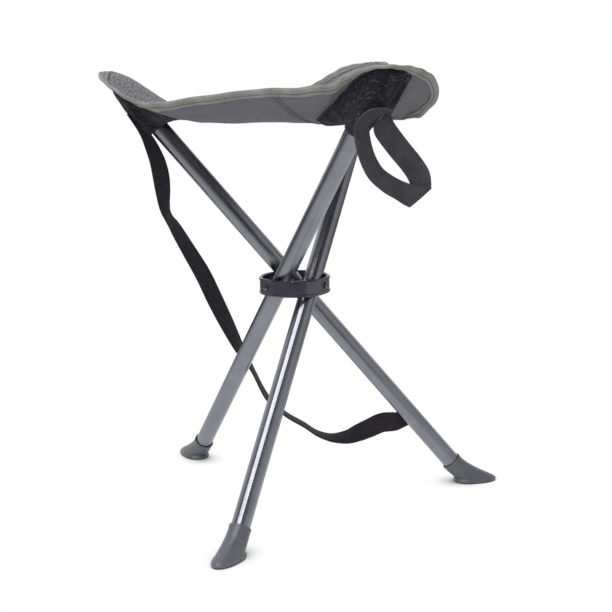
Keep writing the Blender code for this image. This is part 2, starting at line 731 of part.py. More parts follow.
def make_carry_strap():
    out = TUBE_RADIUS + FIT_GAP + WEBBING_THICKNESS / 2
    end = strap_place(STRAP_FOOT_REACH, out)
    size = (LEG_REACH, LEG_REACH, LEG_TOP)
    hung = [([share * side for share, side in zip(shares, size)], turn) for shares, turn in STRAP_ROUTE]
    run = end - Vector(hung[-1][0])
    run = Vector((run.x, 0.0, run.z)).normalized()
    laid = [(tuple(end + run * STRAP_TAIL * step), 90) for step in (-2, -1, 0, 1)]
    route = [*hung, *laid]
    taper = 3 * ROUTE_STEPS

    def widths(index, count):
        left = count - 1 - index
        share = min(left / taper, 1.0)
        return STRAP_END_WIDTH + (WEBBING_WIDTH - STRAP_END_WIDTH) * share

    strap = ribbon("carry_strap", route_ribs(route, widths), "black_webbing")
    to_world_mesh(strap, LEG_FRAMES["a"])
    return strap


def make_handle():
    frame = Matrix.Translation(-HUB_AXIS) @ LEG_FRAMES["b"].matrix_world
    top = frame @ Vector((0.0, 0.0, LEG_UPPER))
    route = [(top + Vector(place), turn) for place, turn in HANDLE_ROUTE]
    ribs = route_ribs(route, lambda index, count: WEBBING_WIDTH)
    handle = ribbon("handle_loop", ribs, "black_webbing")
    to_world_mesh(handle, LEG_FRAMES["b"])


def make_strap_rivet(strap, tube):
    """Rivet that holds the strap's end behind leg a, with its bulb inside the tube."""
    out_of_tube = Matrix.Translation((0.0, 0.0, -STRAP_FOOT_REACH)) @ Matrix.Rotation(-pi / 2, 4, "X")
    frame = LEG_FRAMES["a"]
    shank = STRAP_RIVET_DIAMETER / 2
    bore = shank + FIT_GAP
    washer_low = TUBE_RADIUS + FIT_GAP + WEBBING_THICKNESS + FIT_GAP
    washer_top = washer_low + STRAP_WASHER_THICKNESS
    seat = washer_top + FIT_GAP
    inner = TUBE_RADIUS - TUBE_WALL - FIT_GAP
    head = STRAP_RIVET_HEAD / 2
    bulb = shank * 1.6
    crown = dome(head, seat + STRAP_RIVET_HEAD_HEIGHT / 3, STRAP_RIVET_HEAD_HEIGHT * 2 / 3)
    bulb_level = inner - (TUBE_RADIUS - TUBE_WALL - sqrt((TUBE_RADIUS - TUBE_WALL) ** 2 - bulb**2))
    profile = [*crown, (head, seat), (shank, seat), (shank, bulb_level), (bulb, bulb_level),
               (bulb, bulb_level - bulb), (0.0, bulb_level - bulb)]
    attach(turned("strap_rivet", profile, PIN_STEPS, "rivet_steel"), frame, out_of_tube)
    washer = STRAP_WASHER_DIAMETER / 2
    profile = ((washer, washer_top), (washer, washer_low), (bore, washer_low), (bore, washer_top))
    attach(turned("strap_washer", profile, PIN_STEPS, "rivet_steel", closed=True), frame, out_of_tube)
    hole = drill("strap_hole", bore, TUBE_RADIUS / 2, seat, frame, out_of_tube)
    cut(tube, hole)
    cut(strap, hole)


def make_stool():
    drills = {}
    for letter, pin in PIN_FRAMES.items():
        drills[letter] = drill(f"pin_hole_{letter}", PIN_BORE, 0.0, RING_DIAMETER, pin)
    make_ring(drills)
    make_seat()
    cloth = BVHTree.FromBMesh(CLOTH)
    tubes = {}
    for letter in LEG_PLACES:
        make_pin(letter)
        tubes[letter] = make_tube(letter, drills)
        make_plug(letter)
        make_boot(letter)
        make_pocket(letter, cloth)
        make_patch(letter)
    make_binding()
    make_handle()
    make_strap_rivet(make_carry_strap(), tubes["a"])


make_stool()
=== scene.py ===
from math import atan2, cos, exp, hypot, pi, radians, sin, tan

import bmesh
import bpy
import numpy as np
from mathutils import Matrix, Vector, noise
from mathutils.bvhtree import BVHTree


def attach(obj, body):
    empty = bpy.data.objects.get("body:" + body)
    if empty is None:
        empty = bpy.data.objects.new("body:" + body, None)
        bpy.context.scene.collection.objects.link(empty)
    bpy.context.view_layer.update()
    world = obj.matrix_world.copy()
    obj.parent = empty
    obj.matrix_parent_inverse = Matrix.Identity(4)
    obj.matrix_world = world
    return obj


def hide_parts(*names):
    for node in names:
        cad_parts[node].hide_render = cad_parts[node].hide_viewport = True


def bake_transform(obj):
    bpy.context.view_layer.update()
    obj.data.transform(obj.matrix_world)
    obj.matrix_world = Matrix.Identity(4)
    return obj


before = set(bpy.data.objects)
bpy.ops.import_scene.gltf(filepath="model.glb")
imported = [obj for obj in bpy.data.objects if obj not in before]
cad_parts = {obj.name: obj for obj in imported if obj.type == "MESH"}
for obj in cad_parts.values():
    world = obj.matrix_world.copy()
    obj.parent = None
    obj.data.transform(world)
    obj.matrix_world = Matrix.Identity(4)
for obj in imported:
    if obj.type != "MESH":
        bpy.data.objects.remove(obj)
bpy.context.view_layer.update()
print("frame loaded:", len(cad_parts), "nodes")

# Where the stool stands: legs a, b and c are placed round the hub axis (metres, radians)
stool = {
    "hubAxis": Vector((-0.016, 0.011, 0.0)),
    "hubHeight": 0.269,
    "legPlaces": {"a": 0.0, "b": radians(120), "c": radians(240)},
    "pinRadius": 0.022,
    "spread": radians(39.3),
    "legUpper": 0.298,
    "tubeRadius": 0.011,
    "bendStart": 0.082,  # reach where a bend from the hub to the leg would start
    "bendEnd": 0.150,
}
letters = tuple(stool["legPlaces"])


def legFrame(letter):
    hub = Matrix.Translation(stool["hubAxis"] + Vector((0, 0, stool["hubHeight"])))
    turn = hub @ Matrix.Rotation(stool["legPlaces"][letter], 4, "Z")
    pin = turn @ Matrix.Translation((0, stool["pinRadius"], 0))
    return pin @ Matrix.Rotation(-stool["spread"], 4, "Y")


def cornerAngle(letter):
    return pi + stool["legPlaces"][letter]


def cornerDirection(letter):
    angle = cornerAngle(letter)
    return Vector((cos(angle), sin(angle), 0))


# Camera and studio
studio = {
    "eye": (-0.12556, -1.53776, 0.53755),
    "right": (0.99632395, -0.08305516, -0.02098653),
    "up": (0.03614071, 0.18540872, 0.98199667),
    "lens": 75.84,
    "roomLevel": 0.07,  # light from the camera's side of the room; the backdrop side is white
    "paperReach": 1.4,  # shiny pieces see the white floor fade to half at this distance
    "floorColour": (0.82, 0.82, 0.83, 1),
    "floorHalf": 14,
    "floorDrop": 0.0004,  # keeps the soles clear of the floor
    "contactShades": ((0.025, 0.6), (0.09, 0.4)),  # reach and share of the shade at the boots
    "lamps": {  # place, aim, width and height, watts
        "keySoftbox": ((-1.1, -1.9, 1.7), (0, 0, 0.3), (1.3, 1.1), 34),
        "sideSoftbox": ((1.02, -0.55, 0.60), (0, 0, 0.55), (1.4, 1.3), 3.5),
        "overheadSoftbox": ((-0.70, -0.70, 2.25), (0, 0, 0.25), (1.4, 1.4), 28),
    },
}


def mathsPair(operation):
    # an operator between wires, and the same with a plain number on its left
    return (lambda wire, other: wire.maths(operation, wire, other),
            lambda wire, other: wire.maths(operation, other, wire))


class Wire:
    # one socket of a material; the operators add Math nodes
    def __init__(self, tree, socket=None):
        self.tree = tree
        self.socket = socket

    def add(self, kind, settings=None, inputs=None, out=0):
        made = self.tree.nodes.new(kind)
        for key, value in (settings or {}).items():
            setattr(made, key, value)
        for key, value in (inputs or {}).items():
            if isinstance(value, Wire):
                self.tree.links.new(value.socket, made.inputs[key])
            else:
                made.inputs[key].default_value = value
        return Wire(self.tree, made.outputs[out])

    def maths(self, operation, *values):
        return self.add("ShaderNodeMath", {"operation": operation}, dict(enumerate(values)))

    __add__, __radd__ = mathsPair("ADD")
    __sub__, __rsub__ = mathsPair("SUBTRACT")
    __mul__, __rmul__ = mathsPair("MULTIPLY")
    __truediv__, __rtruediv__ = mathsPair("DIVIDE")
    __pow__, __rpow__ = mathsPair("POWER")

    def wave(self):
        return self.maths("SINE", self)

    def clip(self, low, high):
        inputs = {"Value": self, "From Min": low, "From Max": high}
        return self.add("ShaderNodeMapRange", {"interpolation_type": "SMOOTHSTEP"}, inputs)

    def blend(self, first, second):
        inputs = {0: self, 6: first, 7: second}
        return self.add("ShaderNodeMix", {"data_type": "RGBA"}, inputs, out=2)


def startFinish(name, **constants):
    material = bpy.data.materials.new(name)
    material.use_nodes = True
    tree = material.node_tree
    shader = tree.nodes["Principled BSDF"]
    for key, value in constants.items():
        shader.inputs[key.replace("_", " ")].default_value = value
    return material, Wire(tree), shader


def plug(wire, shader, **inputs):
    for key, value in inputs.items():
        wire.tree.links.new(value.socket, shader.inputs[key.replace("_", " ")])


def speckle(wire, where, scale, detail=3.0, rough=0.55):
    inputs = {"Vector": where, "Scale": scale, "Detail": detail, "Roughness": rough}
    return wire.add("ShaderNodeTexNoise", None, inputs)


def bump(wire, height, strength, distance):
    inputs = {"Strength": strength, "Distance": distance, "Height": height}
    return wire.add("ShaderNodeBump", None, inputs)


def objectPlace(wire):
    return wire.add("ShaderNodeTexCoord", None, None, out=3)


def clothPlace(wire):
    flat = wire.add("ShaderNodeUVMap", {"uv_map": "cloth"})
    across = wire.add("ShaderNodeSeparateXYZ", None, {0: flat}, out=0)
    along = wire.add("ShaderNodeSeparateXYZ", None, {0: flat}, out=1)
    return flat, across, along


def drawn(wire, flat, across, along):
    # the layout scaled, so that specks on it are drawn out into fibres
    return wire.add("ShaderNodeMapping", None, {"Vector": flat, "Scale": (across, along, 1.0)})


def paintFinish():
    look = {"dark": (0.222, 0.221, 0.258, 1), "light": (0.252, 0.251, 0.288, 1),
            "scuff": (0.34, 0.34, 0.35, 1)}
    material, wire, shader = startFinish("glossTubePaint", Coat_Weight=0.1, Coat_Roughness=0.2,
                                         Metallic=1.0)
    where = objectPlace(wire)
    cloud = speckle(wire, where, 38)
    specks = speckle(wire, where, 500, 4.0, 0.7).clip(0.70, 0.78)
    dust = specks * speckle(wire, where, 45).clip(0.54, 0.66)
    base = cloud.clip(0.3, 0.7).blend(look["dark"], look["light"])
    plug(wire, shader, Base_Color=(dust * 0.3).blend(base, look["scuff"]),
         Roughness=0.26 + cloud * 0.03 + dust * 0.05)
    return material


def hardFinish(name, dark, light, scales, high, shares, **constants):
    # clouded colour; shares of the roughness: all over, of the clouds and of the fine grain
    material, wire, shader = startFinish(name, **constants)
    where = objectPlace(wire)
    cloud = speckle(wire, where, scales[0])
    grain = speckle(wire, where, scales[1], 2.0).clip(0.6, 0.8)
    plug(wire, shader, Base_Color=cloud.clip(0.3, high).blend(dark, light),
         Roughness=shares[0] + cloud * shares[1] + grain * shares[2])
    return material


def rubberFinish():
    look = {"dark": (0.082, 0.087, 0.106, 1), "light": (0.104, 0.109, 0.130, 1),
            "dust": (0.17, 0.175, 0.195, 1)}
    material, wire, shader = startFinish("bootRubber", Specular_IOR_Level=0.6)
    where = objectPlace(wire)
    cloud = speckle(wire, where, 70, 5.0)
    grain = speckle(wire, where, 1800, 2.0)
    height = wire.add("ShaderNodeSeparateXYZ", None, {0: where}, out=2)
    low = 1 - height.clip(0.0, 0.006)
    base = cloud.clip(0.3, 0.7).blend(look["dark"], look["light"])
    dust = (low * 0.5 + 0.06) * speckle(wire, where, 130, 6.0).clip(0.42, 0.62)
    plug(wire, shader, Base_Color=dust.blend(base, look["dust"]), Roughness=0.34 + cloud * 0.14,
         Normal=bump(wire, grain, 0.12, 0.0003))
    return material


def wovenFinish(name, dark, light, pitch, mottle, grain, roughness, sheen, fuzz=0.3):
    # plain weave on the piece's flat layout; mottle is the share of speckled yarn, of this grain
    material, wire, shader = startFinish(name, Sheen_Weight=sheen, Sheen_Roughness=0.45,
                                         Specular_IOR_Level=0.25)
    flat, across, along = clothPlace(wire)
    turn = 2 * pi / pitch
    weave = (across * turn).wave() * (along * turn).wave()
    warp, weft = [speckle(wire, drawn(wire, flat, *scale), 1100, 2.0) * 0.5
                  for scale in ((1.0, 0.16), (0.16, 1.0))]
    yarn = warp + weft
    cloud = speckle(wire, flat, 24, 4.0)
    spots = speckle(wire, flat, grain, 3.0, 0.7).clip(0.38, 0.64)
    mix = cloud * 0.25 + yarn * (0.55 - mottle * 0.3) + spots * mottle + weave * 0.07
    colour = mix.clip(0.12, 0.88).blend(dark, light)
    height = weave * 0.6 + yarn * fuzz
    plug(wire, shader, Base_Color=colour, Roughness=roughness + cloud * 0.1,
         Normal=bump(wire, height, 0.45, 0.0004))
    return material


def feltFinish():
    # almost black felt with short pale fibres lying about level
    look = {"dark": (0.0040, 0.0034, 0.0062, 1), "light": (0.026, 0.024, 0.034, 1),
            "fibre": (0.085, 0.082, 0.098, 1)}
    material, wire, shader = startFinish("darkPocketFelt", Sheen_Weight=0.08, Sheen_Roughness=0.5,
                                         Specular_IOR_Level=0.15)
    flat, *_ = clothPlace(wire)
    cloud = speckle(wire, flat, 85, 5.0, 0.7)
    nap = speckle(wire, flat, 1500, 3.0)
    fibres = speckle(wire, drawn(wire, flat, 0.35, 1.0), 420, 3.0, 0.6).clip(0.54, 0.70)
    base = (cloud * 0.7 + nap * 0.3).clip(0.36, 0.64).blend(look["dark"], look["light"])
    plug(wire, shader, Base_Color=(fibres * 0.8).blend(base, look["fibre"]),
         Roughness=0.86 + cloud * 0.1, Normal=bump(wire, nap * 0.6 + cloud, 0.35, 0.0008))
    return material


def tapeFinish(name, dark, light, ribPitch, ribDepth, sheen=0.15, grooveShadeOffset=0.0):
    # ribbed narrow fabric: ribs run across it; its painted groove shade, a dark line, runs this
    # offset off the middle on each side
    material, wire, shader = startFinish(name, Sheen_Weight=sheen, Sheen_Roughness=0.4,
                                         Specular_IOR_Level=0.3)
    flat, across, along = clothPlace(wire)
    rib = (along * (2 * pi / ribPitch)).wave()
    cross = (across * (2 * pi / (ribPitch * 1.6))).wave()
    slant = ((along + across * 0.8) * (2 * pi / (ribPitch * 1.7))).wave()
    cloud = speckle(wire, flat, 45, 4.0)
    yarn = speckle(wire, flat, 1500, 2.0)
    mix = 0.5 + rib * 0.12 + cross * 0.05 + (cloud - 0.5) * 0.7 + (yarn - 0.5) * 0.5
    # painted shade: the colour is darkened along a line where a groove would lie in shade
    if grooveShadeOffset:
        fromGrooveShade = wire.maths("ABSOLUTE", wire.maths("ABSOLUTE", across) - grooveShadeOffset)
        mix = mix - (1 - fromGrooveShade.clip(0.0, 0.0013)) * 0.55
    colour = mix.clip(0.15, 0.85).blend(dark, light)
    height = rib * 0.5 + slant * 0.25 + yarn * 0.4
    plug(wire, shader, Base_Color=colour, Roughness=0.72 + cloud * 0.16,
         Normal=bump(wire, height, ribDepth, 0.0005))
    return material


def grainFinish(name, dark, light, scale=900, roughness=0.6, sheen=0.2):
    # sewing thread, unless it is told otherwise
    material, wire, shader = startFinish(name, Sheen_Weight=sheen)
    grain = speckle(wire, objectPlace(wire), scale)
    plug(wire, shader, Base_Color=grain.blend(dark, light), Roughness=roughness + grain * 0.2)
    return material


finishes = {
    "paint": paintFinish(),
    "plastic": hardFinish("glossRingPlastic", (0.013, 0.010, 0.024, 1), (0.021, 0.018, 0.034, 1),
                          (60, 1500), 0.7, (0.12, 0.08, 0.08), Specular_IOR_Level=0.9),
    "nylon": grainFinish("blackNylon", (0.022, 0.022, 0.025, 1), (0.060, 0.060, 0.066, 1),
                         700, 0.42, 0.0),
    "steel": hardFinish("blackRivetSteel", (0.085, 0.083, 0.095, 1), (0.170, 0.168, 0.182, 1),
                        (240, 2600), 0.75, (0.20, 0.16, 0.1), Metallic=1.0),
    "rubber": rubberFinish(),
    "panel": wovenFinish("seatPanelCloth", (0.092, 0.092, 0.108, 1), (0.212, 0.212, 0.232, 1),
                         0.0011, 0.10, 420, 0.72, 0.12),
    "patch": wovenFinish("melangePatchCloth", (0.014, 0.014, 0.021, 1), (0.255, 0.255, 0.280, 1),
                         0.0013, 0.80, 470, 0.80, 0.12),
    "pocket": feltFinish(),
    # the binding tape carries painted groove shade on each leaf
    "binding": tapeFinish("edgeBindingTape", (0.120, 0.120, 0.110, 1), (0.345, 0.345, 0.325, 1),
                          0.0012, 0.35, grooveShadeOffset=0.0050),
    "handle": tapeFinish("handleWebbing", (0.024, 0.022, 0.030, 1), (0.068, 0.065, 0.078, 1),
                         0.0017, 0.5, 0.06),
    "webbing": tapeFinish("blackWebbing", (0.006, 0.005, 0.009, 1), (0.027, 0.024, 0.035, 1),
                          0.0017, 0.6, 0.06),
    "paleThread": grainFinish("paleThread", (0.20, 0.20, 0.18, 1), (0.34, 0.34, 0.31, 1)),
    "hemThread": grainFinish("hemThread", (0.140, 0.140, 0.146, 1), (0.260, 0.258, 0.268, 1)),
    # dark thread; on the corner patches its dense rows also paint shade
    "darkThreadAndShade": grainFinish("darkThreadAndShade", (0.030, 0.030, 0.036, 1), (0.075, 0.073, 0.085, 1)),
}
print("finishes made:", len(finishes))


def makeCamera():
    lens = bpy.data.cameras.new("photoCamera")
    lens.lens = studio["lens"]
    lens.sensor_width = 36
    camera = bpy.data.objects.new("photoCamera", lens)
    right, up = Vector(studio["right"]), Vector(studio["up"])
    turn = Matrix((right, up, right.cross(up))).transposed().to_4x4()
    camera.matrix_world = Matrix.Translation(studio["eye"]) @ turn
    bpy.context.scene.collection.objects.link(camera)
    bpy.context.scene.camera = camera


def seenThrough(wire):
    # 1 for camera and see-through rays, which show the white background itself
    kinds = [wire.add("ShaderNodeLightPath", None, None, out=kind)
             for kind in ("Is Camera Ray", "Is Transmission Ray")]
    return wire.maths("MAXIMUM", *kinds)


def makeStudio():
    scene = bpy.context.scene
    scene.view_settings.view_transform = "Standard"
    world = bpy.data.worlds.new("whiteStudio")
    scene.world = world
    world.use_nodes = True
    wire = Wire(world.node_tree)
    sky = world.node_tree.nodes["Background"]
    sky.inputs["Color"].default_value = (1, 1, 1, 1)
    ray = wire.add("ShaderNodeTexCoord")
    behind = wire.add("ShaderNodeSeparateXYZ", None, {0: ray}, out=1).clip(-0.1, 0.6)
    lit = behind * (1 - studio["roomLevel"]) + studio["roomLevel"]
    level = wire.maths("MAXIMUM", lit, seenThrough(wire))
    world.node_tree.links.new(level.socket, sky.inputs["Strength"])

    bm = bmesh.new()
    bmesh.ops.create_grid(bm, x_segments=8, y_segments=8, size=studio["floorHalf"])
    bmesh.ops.translate(bm, vec=(0, 0, -studio["floorDrop"]), verts=bm.verts)
    mesh = bpy.data.meshes.new("studioFloor")
    bm.to_mesh(mesh)
    bm.free()
    floor = bpy.data.objects.new("studioFloor", mesh)
    scene.collection.objects.link(floor)
    material, wire, shader = startFinish("paleFloor", Roughness=0.9)
    shader.inputs["Base Color"].default_value = studio["floorColour"]
    near, far = [wire.add("ShaderNodeAmbientOcclusion", {"samples": 16}, {"Distance": span},
                          out=1) * share for span, share in studio["contactShades"]]
    shade = (near + far).clip(0.10, 0.97)
    reach = wire.add("ShaderNodeVectorMath", {"operation": "LENGTH"}, {0: objectPlace(wire)},
                     out="Value")
    paper = 1 / (1 + (reach / studio["paperReach"]) ** 3)
    mirror = wire.add("ShaderNodeLightPath", None, None, out="Is Glossy Ray")
    direct = wire.maths("MAXIMUM", seenThrough(wire), mirror)
    strength = shade * wire.maths("MAXIMUM", paper, seenThrough(wire))
    glow = wire.add("ShaderNodeEmission", None, {"Strength": strength})
    matt = Wire(wire.tree, shader.outputs[0])
    both = wire.add("ShaderNodeMixShader", None, {0: direct, 1: matt, 2: glow})
    wire.tree.links.new(both.socket, wire.tree.nodes["Material Output"].inputs["Surface"])
    mesh.materials.append(material)

    for name, (place, aim, size, watts) in studio["lamps"].items():
        lamp = bpy.data.lights.new(name, "AREA")
        lamp.shape = "RECTANGLE"
        lamp.size, lamp.size_y = size
        lamp.energy = watts
        item = bpy.data.objects.new(name, lamp)
        item.location = place
        item.rotation_euler = (Vector(aim) - Vector(place)).to_track_quat("-Z", "Y").to_euler()
        scene.collection.objects.link(item)


makeCamera()
makeStudio()
print("camera and studio set")


def addPiece(name, bm, finish):
    mesh = bpy.data.meshes.new(name)
    bm.to_mesh(mesh)
    bm.free()
    for face in mesh.polygons:
        face.use_smooth = True
    mesh.materials.append(finishes[finish])
    piece = bpy.data.objects.new(name, mesh)
    bpy.context.scene.collection.objects.link(piece)
    return piece


def thicken(piece, thickness):
    # evenly to both sides of the sheet
    wall = piece.modifiers.new("clothThickness", "SOLIDIFY")
    wall.thickness = thickness
    wall.offset = 0.0


def followLeg(piece):
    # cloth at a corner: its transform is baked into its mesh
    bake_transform(piece)


def smoothRoute(points, steps):
    guides = [2 * points[0] - points[1], *points, 2 * points[-1] - points[-2]]
    curve = []
    for p0, p1, p2, p3 in zip(guides, guides[1:], guides[2:], guides[3:]):
        for step in range(steps):
            t = step / steps
            curve.append(0.5 * (2 * p1 + t * (p2 - p0) + t * t * (2 * p0 - 5 * p1 + 4 * p2 - p3)
                                + t**3 * (3 * p1 - p0 - 3 * p2 + p3)))
    return [*curve, points[-1]]


def sheetGrid(columns, rows, place, closed=False):
    # a flat grid whose points are moved; place gives each point and its flat layout
    bm = bmesh.new()
    spans = columns if closed else columns - 1
    bmesh.ops.create_grid(bm, x_segments=spans, y_segments=rows - 1, size=1.0)
    layout = bm.loops.layers.uv.new("cloth")
    flat = {}
    for point in bm.verts:
        column = round((point.co.x + 1) / 2 * spans)
        row = round((point.co.y + 1) / 2 * (rows - 1))
        point.co, flat[point] = place(column, row)
    for face in bm.faces:
        for loop in face.loops:
            loop[layout].uv = flat[loop.vert]
    bmesh.ops.remove_doubles(bm, verts=bm.verts, dist=0.00001)
    return bm


# Carry strap and handle: black webbing near the routes of the model, drawn from the hub axis.
# The strap's points: place, and the turn of the width out of the depth direction (degrees).
webbing = {
    "width": 0.025,
    "thickness": 0.0016,
    "endWidth": 0.011,
    "endSpans": 3,
    "footReach": 0.238,
    "tail": 0.012,
    "laid": (-2, -1, 0, 0.75),  # last points along the tube, in tails from the rivet
    "steps": 10,
    "ridges": 10,
    "crown": 0.0005,
    "softSide": 0.0005,
    "fitGap": 0.0003,
}
strapRoute = (
    ((-0.1940, 0.022, 0.4783), 0), ((-0.1867, 0.022, 0.4684), 4), ((-0.1787, 0.022, 0.4585), 14),
    ((-0.1711, 0.022, 0.4470), 28), ((-0.1620, 0.022, 0.4239), 43), ((-0.1579, 0.025, 0.4043), 50),
    ((-0.1561, 0.029, 0.3857), 44), ((-0.1546, 0.034, 0.3643), 28), ((-0.1505, 0.038, 0.3495), 19),
    ((-0.1424, 0.043, 0.3346), 30), ((-0.1282, 0.052, 0.3070), 39), ((-0.1113, 0.062, 0.2738), 48),
    ((-0.0972, 0.074, 0.2392), 50), ((-0.0821, 0.086, 0.2036), 42), ((-0.0667, 0.098, 0.1685), 26),
    ((-0.0517, 0.100, 0.1404), 8), ((-0.0330, 0.096, 0.1020), 8), ((-0.0104, 0.092, 0.0797), 2),
    ((0.0140, 0.087, 0.0648), 2), ((0.0308, 0.083, 0.0538), 3), ((0.0488, 0.078, 0.0486), 8),
    ((0.0678, 0.071, 0.0507), 24), ((0.0828, 0.063, 0.0577), 42), ((0.0977, 0.053, 0.0668), 54),
    ((0.1115, 0.043, 0.0757), 64),
)
# The handle's points give the width direction itself, because the loop is folded flat at its end.
handleRoute = (
    ((0.0945, -0.1810, 0.4800), (0.00, 0.95, -0.20)),
    ((0.0833, -0.1865, 0.4822), (0.05, 0.94, -0.30)),
    ((0.0725, -0.1885, 0.4785), (0.42, 0.78, -0.42)),
    ((0.0639, -0.1880, 0.4699), (0.66, 0.70, -0.22)),
    ((0.0614, -0.1875, 0.4595), (0.71, 0.70, 0.00)),
    ((0.0655, -0.1880, 0.4379), (0.72, 0.68, 0.12)),
    ((0.0747, -0.1870, 0.4185), (0.64, 0.65, 0.38)),
    ((0.0881, -0.1850, 0.4061), (0.47, 0.65, 0.60)),
    ((0.1025, -0.1820, 0.3975), (0.42, 0.60, 0.68)),
    ((0.1135, -0.1792, 0.3920), (0.52, 0.36, 0.80)),
    ((0.1225, -0.1772, 0.3895), (0.84, 0.08, 0.80)),
    ((0.1258, -0.1750, 0.3890), (0.92, 0.00, 0.76)),
    ((0.1262, -0.1728, 0.3920), (0.92, 0.00, 0.70)),
    ((0.1272, -0.1710, 0.3985), (0.90, 0.04, 0.52)),
    ((0.1255, -0.1690, 0.4110), (0.87, 0.08, 0.47)),
    ((0.1170, -0.1680, 0.4250), (0.84, 0.10, 0.52)),
    ((0.1034, -0.1710, 0.4416), (0.80, 0.12, 0.58)),
    ((0.0876, -0.1770, 0.4625), (0.78, 0.16, 0.60)),
    ((0.0835, -0.1805, 0.4740), (0.74, 0.30, 0.60)),
)


def middleLine(route):
    # middle of a ribbon, and its way at each point
    places = [stool["hubAxis"] + Vector(place) for place, _ in route]
    middles = smoothRoute(places, webbing["steps"])
    befores, afters = [middles[0], *middles[:-1]], [*middles[1:], middles[-1]]
    return middles, [(after - before).normalized() for before, after in zip(befores, afters)]


def foldedRun(route):
    # middle, width direction, way and half width, where the points give the width direction
    acrosses = smoothRoute([Vector(across) for _, across in route], webbing["steps"])
    half = webbing["width"] / 2
    return [(middle, across, way, half)
            for middle, way, across in zip(*middleLine(route), acrosses)]


def webbingRun(route, widthAt):
    # the same, where the points give the turn of the width
    turns = smoothRoute([Vector((turn, 0, 0)) for _, turn in route], webbing["steps"])
    middles, ways = middleLine(route)
    run = []
    for index, (middle, way, turn) in enumerate(zip(middles, ways, turns)):
        depth = (Vector((0, 1, 0)) - way * way.y).normalized()
        across = Matrix.Rotation(radians(turn.x), 3, way) @ depth
        run.append((middle, across, way, widthAt(index, len(middles)) / 2))
    return run


def webbingPiece(name, run, finish, node, body):
    ridges = webbing["ridges"]
    lengths = [0.0]
    for (first, *_), (second, *_) in zip(run, run[1:]):
        lengths.append(lengths[-1] + (second - first).length)

    def place(column, row):
        middle, across, way, half = run[column]
        side = 2 * row / ridges - 1
        crown = way.cross(across) * webbing["crown"] * (1 - side * side)
        return middle + across * half * side + crown, (half * side, lengths[column])

    piece = addPiece(name, sheetGrid(len(run), ridges + 1, place), finish)
    thicken(piece, webbing["thickness"])
    soften = piece.modifiers.new("softSides", "BEVEL")
    soften.width = webbing["softSide"]
    soften.segments = 2
    soften.limit_method = "ANGLE"
    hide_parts(node)
    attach(piece, body)


def makeWebbing():
    leg = legFrame("a")
    out = stool["tubeRadius"] + webbing["fitGap"] + webbing["thickness"] / 2
    end = leg @ Vector((0, out, -webbing["footReach"])) - stool["hubAxis"]
    last = Vector(strapRoute[-1][0])
    way = Vector((end.x - last.x, 0, end.z - last.z)).normalized()
    laid = [(end + way * webbing["tail"] * step, 90) for step in webbing["laid"]]
    taper = webbing["endSpans"] * webbing["steps"]

    def strapWidth(index, count):
        share = min((count - 1 - index) / taper, 1.0)
        return webbing["endWidth"] + (webbing["width"] - webbing["endWidth"]) * share

    strapRun = webbingRun([*strapRoute, *laid], strapWidth)
    webbingPiece("carryStrapWebbing", strapRun, "webbing", "carry_strap", "leg_a")
    webbingPiece("handleWebbing", foldedRun(handleRoute), "handle", "handle_loop", "leg_b")


makeWebbing()
print("carry strap and handle hung")

# Seat: a sagging three-cornered sheet with a tongue over each leg's top
seat = {
    "thickness": 0.0014,
    "low": 0.466,
    "middleReach": 0.112,
    "shoulders": ((0.150, 0.058), (0.180, 0.050), (0.203, 0.042), (0.219, 0.024)),
    "drapedFlare": (0.0, 0.65, 1.0, 0.85),
    # reach of the tip, flare of the draped side, then heights: up the lifted shoulders, the tip,
    # down the draped shoulders, and the edge's middle on the way to the next corner
    "corners": {
        "a": (0.222, 0.000, (0.481, 0.5055, 0.5175, 0.5258), 0.526,
              (0.519, 0.507, 0.495, 0.4925), 0.5035),
        "b": (0.228, 0.012, (0.5085, 0.5197, 0.526, 0.5282), 0.527,
              (0.516, 0.496, 0.479, 0.472), 0.489),
        "c": (0.225, 0.000, (0.509, 0.525, 0.5306, 0.5308), 0.530,
              (0.525, 0.514, 0.505, 0.498), 0.482),
    },
    "sagPower": 3.8,
    "ridge": (0.47, 0.97),  # shares of the reach between which the cloth rises over a leg
    "ridgeHalfAngle": radians(14),
    "seamChord": 0.080,
    "seamSlack": 0.00002,
    "stationGap": 0.004,
    "stations": 420,
    "middleRows": 24,
    "cornerRows": 26,
    "foldDepth": 0.0011,
    "pleats": {"heart": 0.185, "count": 15, "reach": 0.080, "spread": 0.042, "fade": 0.3},
    "uneven": 26,
}


def cornerPoints(letter):
    tongue, flare, lifted, tip, draped, middle = seat["corners"][letter]
    points = [(reach, offset, height) for (reach, offset), height in zip(seat["shoulders"], lifted)]
    points.append((tongue, 0.0, tip))
    drapedSide = zip(reversed(seat["shoulders"]), reversed(seat["drapedFlare"]), draped)
    for (reach, offset), share, height in drapedSide:
        points.append((reach, -offset - flare * share, height))
    half = seat["middleReach"]
    points.append((half * cos(pi / 3), -half * sin(pi / 3), middle))
    turn = Matrix.Rotation(cornerAngle(letter), 3, "Z")
    return [turn @ Vector((reach, -offset, height)) for reach, offset, height in points]


def edgeTable():
    guides = [point for letter in letters for point in cornerPoints(letter)]
    dense = 24
    curve = smoothRoute([*guides[-2:], *guides, *guides[:2]], dense)[2 * dense:-dense]
    line = np.array([tuple(point) for point in curve])
    return np.unwrap(np.arctan2(line[:, 1], line[:, 0])), line


def runAlong(line):
    # length from the first point of a line to each of its points
    return np.concatenate(([0.0], np.cumsum(np.linalg.norm(np.diff(line, axis=0), axis=1))))


edgeAngles, edgeLine = edgeTable()
edgeReaches = np.hypot(edgeLine[:, 0], edgeLine[:, 1])
edgeRun = runAlong(edgeLine)


def onEdge(angle, values):
    # what the edge has in this direction from the hub axis
    turned = edgeAngles[0] + (angle - edgeAngles[0]) % (2 * pi)
    return float(np.interp(turned, edgeAngles, values))


def edgeAt(angle):
    return onEdge(angle, edgeReaches), onEdge(angle, edgeLine[:, 2])


def halfTurn(angle):
    return (angle + pi) % (2 * pi) - pi


def offCorner(angle, letter):
    return halfTurn(angle - pi - stool["legPlaces"][letter])


